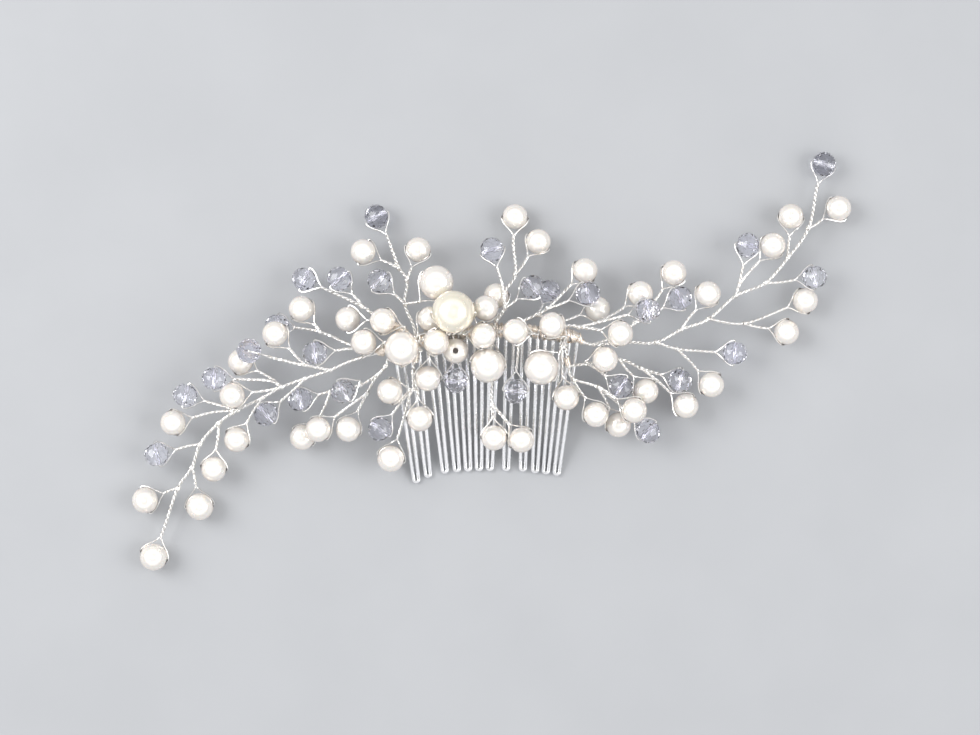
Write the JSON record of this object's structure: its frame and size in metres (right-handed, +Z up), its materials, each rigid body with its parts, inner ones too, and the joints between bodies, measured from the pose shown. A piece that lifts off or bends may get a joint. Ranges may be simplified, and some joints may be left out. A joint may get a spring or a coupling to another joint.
{
  "type": "decorative hair comb",
  "caption": "Wire hair comb with sprays of threaded pearls and cut glass beads on twisted wire, two long bendable vines and a cluster over its top rail.",
  "frame": {"origin": "middle of the footprint, on the table the comb lies on", "axes": "+X along the comb's top rail, the teeth point to -Y, +Z up from the table through the decorated side"},
  "size_m": [0.1709, 0.0993, 0.023],
  "materials": {
    "pearl": "ivory pearl lacquer, soft lustre",
    "crystal": "clear cut glass, faint blue-lilac tint",
    "spray_wire": "silver-coloured craft wire, twisted",
    "comb_wire": "satin silver plate",
    "binding_wire": "fine champagne-silver wire"
  },
  "bodies": {
    "comb": {"comb_tooth_wire": "comb_wire", "comb_top_rail": "comb_wire", "left_binding_wire": "binding_wire", "right_binding_wire": "binding_wire", "upper_left_spray_wire": "spray_wire", "left_shoulder_spray_wire": "spray_wire", "cluster_wire": "spray_wire", "right_cluster_wire": "spray_wire", "left_drop_wire": "spray_wire", "centre_drop_wire": "spray_wire", "top_spray_wire": "spray_wire", "upper_right_spray_wire": "spray_wire"},
    "left_vine": {"left_vine_wire": "spray_wire", "lower_left_spray_wire": "spray_wire"},
    "right_vine": {"right_vine_wire": "spray_wire"},
    "lower_right_spray": {"lower_right_spray_wire": "spray_wire"},
    "left_vine_pearl_1": {"left_vine_pearl_1": "pearl"},
    "left_vine_pearl_2": {"left_vine_pearl_2": "pearl"},
    "left_vine_pearl_3": {"left_vine_pearl_3": "pearl"},
    "left_vine_pearl_4": {"left_vine_pearl_4": "pearl"},
    "left_vine_pearl_5": {"left_vine_pearl_5": "pearl"},
    "left_vine_pearl_6": {"left_vine_pearl_6": "pearl"},
    "left_vine_pearl_7": {"left_vine_pearl_7": "pearl"},
    "left_vine_pearl_8": {"left_vine_pearl_8": "pearl"},
    "left_vine_pearl_9": {"left_vine_pearl_9": "pearl"},
    "left_vine_pearl_10": {"left_vine_pearl_10": "pearl"},
    "left_vine_pearl_11": {"left_vine_pearl_11": "pearl"},
    "lower_left_spray_pearl_1": {"lower_left_spray_pearl_1": "pearl"},
    "lower_left_spray_pearl_2": {"lower_left_spray_pearl_2": "pearl"},
    "lower_left_spray_pearl_3": {"lower_left_spray_pearl_3": "pearl"},
    "upper_left_spray_pearl_1": {"upper_left_spray_pearl_1": "pearl"},
    "upper_left_spray_pearl_2": {"upper_left_spray_pearl_2": "pearl"},
    "upper_left_spray_pearl_3": {"upper_left_spray_pearl_3": "pearl"},
    "left_shoulder_spray_pearl_1": {"left_shoulder_spray_pearl_1": "pearl"},
    "cluster_pearl_1": {"cluster_pearl_1": "pearl"},
    "cluster_pearl_2": {"cluster_pearl_2": "pearl"},
    "cluster_pearl_3": {"cluster_pearl_3": "pearl"},
    "cluster_pearl_4": {"cluster_pearl_4": "pearl"},
    "cluster_pearl_5": {"cluster_pearl_5": "pearl"},
    "cluster_pearl_6": {"cluster_pearl_6": "pearl"},
    "right_cluster_pearl_1": {"right_cluster_pearl_1": "pearl"},
    "left_drop_pearl_1": {"left_drop_pearl_1": "pearl"},
    "top_spray_pearl_1": {"top_spray_pearl_1": "pearl"},
    "top_spray_pearl_2": {"top_spray_pearl_2": "pearl"},
    "right_vine_pearl_1": {"right_vine_pearl_1": "pearl"},
    "right_vine_pearl_2": {"right_vine_pearl_2": "pearl"},
    "right_vine_pearl_3": {"right_vine_pearl_3": "pearl"},
    "right_vine_pearl_4": {"right_vine_pearl_4": "pearl"},
    "right_vine_pearl_5": {"right_vine_pearl_5": "pearl"},
    "right_vine_pearl_6": {"right_vine_pearl_6": "pearl"},
    "right_vine_pearl_7": {"right_vine_pearl_7": "pearl"},
    "right_vine_pearl_8": {"right_vine_pearl_8": "pearl"},
    "right_vine_pearl_9": {"right_vine_pearl_9": "pearl"},
    "right_vine_pearl_10": {"right_vine_pearl_10": "pearl"},
    "lower_right_spray_pearl_1": {"lower_right_spray_pearl_1": "pearl"},
    "lower_right_spray_pearl_2": {"lower_right_spray_pearl_2": "pearl"},
    "lower_right_spray_pearl_3": {"lower_right_spray_pearl_3": "pearl"},
    "lower_right_spray_pearl_4": {"lower_right_spray_pearl_4": "pearl"},
    "lower_right_spray_pearl_5": {"lower_right_spray_pearl_5": "pearl"},
    "lower_right_spray_pearl_6": {"lower_right_spray_pearl_6": "pearl"}
  },
  "joints": [
    {"name": "bend_left_vine", "type": "hinge", "parent": "comb", "child": "left_vine", "pos_m": [-0.0272, 0.002, 0.011], "axis": [-0.4983, 0.867, 0], "range_deg": [-15, 14]},
    {"name": "bend_right_vine", "type": "hinge", "parent": "comb", "child": "right_vine", "pos_m": [0.0215, 0.0045, 0.0112], "axis": [0.1483, -0.9889, 0], "range_deg": [-15, 20]},
    {"name": "bend_lower_right_spray", "type": "hinge", "parent": "comb", "child": "lower_right_spray", "pos_m": [0.018, -0.001, 0.0103], "axis": [-0.3697, -0.9292, 0], "range_deg": [-6, 12]},
    {"name": "spin_left_vine_pearl_1", "type": "hinge", "parent": "left_vine", "child": "left_vine_pearl_1", "pos_m": [-0.0805, -0.0465, 0.00325], "axis": [-0.9363, 0.3511, 0], "continuous": true},
    {"name": "spin_left_vine_pearl_2", "type": "hinge", "parent": "left_vine", "child": "left_vine_pearl_2", "pos_m": [-0.0825, -0.033, 0.0036], "axis": [-0.3511, 0.9363, 0], "continuous": true},
    {"name": "spin_left_vine_pearl_3", "type": "hinge", "parent": "left_vine", "child": "left_vine_pearl_3", "pos_m": [-0.0695, -0.0345, 0.0035], "axis": [-0.9878, -0.156, 0], "continuous": true},
    {"name": "spin_left_vine_pearl_4", "type": "hinge", "parent": "left_vine", "child": "left_vine_pearl_4", "pos_m": [-0.066, -0.0255, 0.005], "axis": [-0.9908, 0.1351, 0], "continuous": true},
    {"name": "spin_left_vine_pearl_5", "type": "hinge", "parent": "left_vine", "child": "left_vine_pearl_5", "pos_m": [-0.0755, -0.0145, 0.0065], "axis": [-0.2545, 0.9671, 0], "continuous": true},
    {"name": "spin_left_vine_pearl_6", "type": "hinge", "parent": "left_vine", "child": "left_vine_pearl_6", "pos_m": [-0.0605, -0.0185, 0.0058], "axis": [-0.8384, 0.545, 0], "continuous": true},
    {"name": "spin_left_vine_pearl_7", "type": "hinge", "parent": "left_vine", "child": "left_vine_pearl_7", "pos_m": [-0.061, -0.008, 0.0113], "axis": [-0.1713, 0.9852, 0], "continuous": true},
    {"name": "spin_left_vine_pearl_8", "type": "hinge", "parent": "left_vine", "child": "left_vine_pearl_8", "pos_m": [-0.0595, 0, 0.0065], "axis": [0.4706, 0.8824, 0], "continuous": true},
    {"name": "spin_left_vine_pearl_9", "type": "hinge", "parent": "left_vine", "child": "left_vine_pearl_9", "pos_m": [-0.051, 0.0065, 0.011], "axis": [0.7071, 0.7071, 0], "continuous": true},
    {"name": "spin_left_vine_pearl_10", "type": "hinge", "parent": "left_vine", "child": "left_vine_pearl_10", "pos_m": [-0.045, 0.0125, 0.0083], "axis": [0.774, 0.6332, 0], "continuous": true},
    {"name": "spin_left_vine_pearl_11", "type": "hinge", "parent": "left_vine", "child": "left_vine_pearl_11", "pos_m": [-0.03, 0.0045, 0.014], "axis": [0, 1, 0], "continuous": true},
    {"name": "spin_lower_left_spray_pearl_1", "type": "hinge", "parent": "left_vine", "child": "lower_left_spray_pearl_1", "pos_m": [-0.034, -0.016, 0.007], "axis": [-0.8838, 0.4679, 0], "continuous": true},
    {"name": "spin_lower_left_spray_pearl_2", "type": "hinge", "parent": "left_vine", "child": "lower_left_spray_pearl_2", "pos_m": [-0.041, -0.016, 0.0088], "axis": [-0.6097, 0.7926, 0], "continuous": true},
    {"name": "spin_lower_left_spray_pearl_3", "type": "hinge", "parent": "left_vine", "child": "lower_left_spray_pearl_3", "pos_m": [-0.045, -0.018, 0.0045], "axis": [-0.774, 0.6332, 0], "continuous": true},
    {"name": "spin_upper_left_spray_pearl_1", "type": "hinge", "parent": "comb", "child": "upper_left_spray_pearl_1", "pos_m": [-0.0305, 0.026, 0.0065], "axis": [0.4258, 0.9048, 0], "continuous": true},
    {"name": "spin_upper_left_spray_pearl_2", "type": "hinge", "parent": "comb", "child": "upper_left_spray_pearl_2", "pos_m": [-0.0175, 0.0265, 0.006], "axis": [0.9487, -0.3162, 0], "continuous": true},
    {"name": "spin_upper_left_spray_pearl_3", "type": "hinge", "parent": "comb", "child": "upper_left_spray_pearl_3", "pos_m": [-0.013, 0.0185, 0.013], "axis": [0.7474, -0.6644, 0], "continuous": true},
    {"name": "spin_left_shoulder_spray_pearl_1", "type": "hinge", "parent": "comb", "child": "left_shoulder_spray_pearl_1", "pos_m": [-0.0255, 0.0095, 0.015], "axis": [0.2772, 0.9608, 0], "continuous": true},
    {"name": "spin_cluster_pearl_1", "type": "hinge", "parent": "comb", "child": "cluster_pearl_1", "pos_m": [0.0055, 0.007, 0.0165], "axis": [0.0905, 0.9959, 0], "continuous": true},
    {"name": "spin_cluster_pearl_2", "type": "hinge", "parent": "comb", "child": "cluster_pearl_2", "pos_m": [-0.009, 0.0115, 0.018], "axis": [1, 0, 0], "continuous": true},
    {"name": "spin_cluster_pearl_3", "type": "hinge", "parent": "comb", "child": "cluster_pearl_3", "pos_m": [-0.021, 0.003, 0.0172], "axis": [0.1104, 0.9939, 0], "continuous": true},
    {"name": "spin_cluster_pearl_4", "type": "hinge", "parent": "comb", "child": "cluster_pearl_4", "pos_m": [-0.013, 0.0045, 0.0165], "axis": [0, -1, 0], "continuous": true},
    {"name": "spin_cluster_pearl_5", "type": "hinge", "parent": "comb", "child": "cluster_pearl_5", "pos_m": [-0.0015, 0.0125, 0.014], "axis": [0.9104, -0.4138, 0], "continuous": true},
    {"name": "spin_cluster_pearl_6", "type": "hinge", "parent": "comb", "child": "cluster_pearl_6", "pos_m": [-0.001, -0.001, 0.0145], "axis": [-0.9829, 0.1843, 0], "continuous": true},
    {"name": "spin_right_cluster_pearl_1", "type": "hinge", "parent": "comb", "child": "right_cluster_pearl_1", "pos_m": [0.0115, -0.0015, 0.014], "axis": [-0.6522, 0.758, 0], "continuous": true},
    {"name": "spin_left_drop_pearl_1", "type": "hinge", "parent": "comb", "child": "left_drop_pearl_1", "pos_m": [-0.017, -0.0135, 0.0095], "axis": [-0.9975, -0.0712, 0], "continuous": true},
    {"name": "spin_top_spray_pearl_1", "type": "hinge", "parent": "comb", "child": "top_spray_pearl_1", "pos_m": [0.0055, 0.0345, 0.003], "axis": [0.9975, -0.0712, 0], "continuous": true},
    {"name": "spin_top_spray_pearl_2", "type": "hinge", "parent": "comb", "child": "top_spray_pearl_2", "pos_m": [0.011, 0.0285, 0.0045], "axis": [0.824, -0.5665, 0], "continuous": true},
    {"name": "spin_right_vine_pearl_1", "type": "hinge", "parent": "right_vine", "child": "right_vine_pearl_1", "pos_m": [0.0825, 0.0365, 0.0033], "axis": [0.5547, -0.8321, 0], "continuous": true},
    {"name": "spin_right_vine_pearl_2", "type": "hinge", "parent": "right_vine", "child": "right_vine_pearl_2", "pos_m": [0.071, 0.0345, 0.0045], "axis": [0.995, -0.0995, 0], "continuous": true},
    {"name": "spin_right_vine_pearl_3", "type": "hinge", "parent": "right_vine", "child": "right_vine_pearl_3", "pos_m": [0.0665, 0.0275, 0.0065], "axis": [0.7498, -0.6616, 0], "continuous": true},
    {"name": "spin_right_vine_pearl_4", "type": "hinge", "parent": "right_vine", "child": "right_vine_pearl_4", "pos_m": [0.0745, 0.0145, 0.0038], "axis": [0.3443, -0.9389, 0], "continuous": true},
    {"name": "spin_right_vine_pearl_5", "type": "hinge", "parent": "right_vine", "child": "right_vine_pearl_5", "pos_m": [0.07, 0.007, 0.004], "axis": [-0.1871, -0.9823, 0], "continuous": true},
    {"name": "spin_right_vine_pearl_6", "type": "hinge", "parent": "right_vine", "child": "right_vine_pearl_6", "pos_m": [0.051, 0.016, 0.0085], "axis": [0.7944, -0.6074, 0], "continuous": true},
    {"name": "spin_right_vine_pearl_7", "type": "hinge", "parent": "right_vine", "child": "right_vine_pearl_7", "pos_m": [0.052, -0.0055, 0.0063], "axis": [-0.7071, -0.7071, 0], "continuous": true},
    {"name": "spin_right_vine_pearl_8", "type": "hinge", "parent": "right_vine", "child": "right_vine_pearl_8", "pos_m": [0.03, 0.0065, 0.0146], "axis": [-0.0665, -0.9978, 0], "continuous": true},
    {"name": "spin_right_vine_pearl_9", "type": "hinge", "parent": "right_vine", "child": "right_vine_pearl_9", "pos_m": [0.043, 0.021, 0.007], "axis": [0.8222, -0.5692, 0], "continuous": true},
    {"name": "spin_right_vine_pearl_10", "type": "hinge", "parent": "right_vine", "child": "right_vine_pearl_10", "pos_m": [0.035, 0.016, 0.0088], "axis": [0.6247, -0.7809, 0], "continuous": true},
    {"name": "spin_lower_right_spray_pearl_1", "type": "hinge", "parent": "lower_right_spray", "child": "lower_right_spray_pearl_1", "pos_m": [0.0265, 0.0005, 0.0132], "axis": [0.1104, -0.9939, 0], "continuous": true},
    {"name": "spin_lower_right_spray_pearl_2", "type": "hinge", "parent": "lower_right_spray", "child": "lower_right_spray_pearl_2", "pos_m": [0.0365, -0.007, 0.006], "axis": [-0.7557, -0.6549, 0], "continuous": true},
    {"name": "spin_lower_right_spray_pearl_3", "type": "hinge", "parent": "lower_right_spray", "child": "lower_right_spray_pearl_3", "pos_m": [0.046, -0.0105, 0.0052], "axis": [-0.6332, -0.774, 0], "continuous": true},
    {"name": "spin_lower_right_spray_pearl_4", "type": "hinge", "parent": "lower_right_spray", "child": "lower_right_spray_pearl_4", "pos_m": [0.0335, -0.0115, 0.01], "axis": [-0.5433, -0.8396, 0], "continuous": true},
    {"name": "spin_lower_right_spray_pearl_5", "type": "hinge", "parent": "lower_right_spray", "child": "lower_right_spray_pearl_5", "pos_m": [0.0245, -0.0125, 0.009], "axis": [-0.8396, -0.5433, 0], "continuous": true},
    {"name": "spin_lower_right_spray_pearl_6", "type": "hinge", "parent": "lower_right_spray", "child": "lower_right_spray_pearl_6", "pos_m": [0.03, -0.015, 0.0052], "axis": [-0.8742, -0.4856, 0], "continuous": true}
  ]
}
